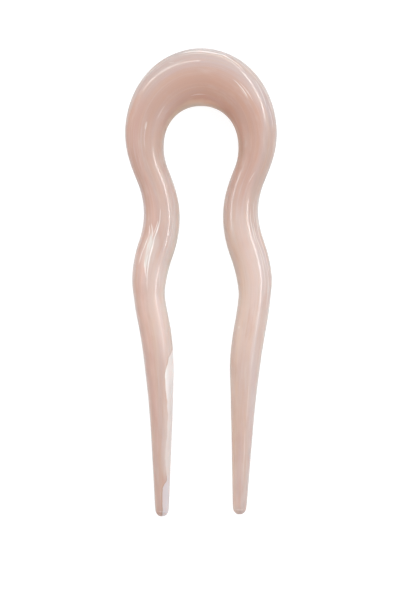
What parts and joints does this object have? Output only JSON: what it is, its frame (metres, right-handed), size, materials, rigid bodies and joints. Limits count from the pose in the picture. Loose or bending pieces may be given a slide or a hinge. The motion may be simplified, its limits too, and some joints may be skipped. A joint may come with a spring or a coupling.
{
  "type": "hair fork",
  "caption": "Two-legged hair fork in one piece, with a thick rounded crown over a round eye and waved legs that taper to round tips.",
  "frame": {"origin": "middle of the fork's outline, on the flat surface that its back rests on", "axes": "+Y from the leg tips to the crown, +X to the right leg seen from the face, +Z from the back up to the face"},
  "size_m": [0.0372, 0.115, 0.009],
  "materials": {
    "acetate": "polished cellulose acetate, pale pink beige with fine streaks and one white vein"
  },
  "bodies": {
    "root": {"fork": "acetate"}
  },
  "joints": []
}
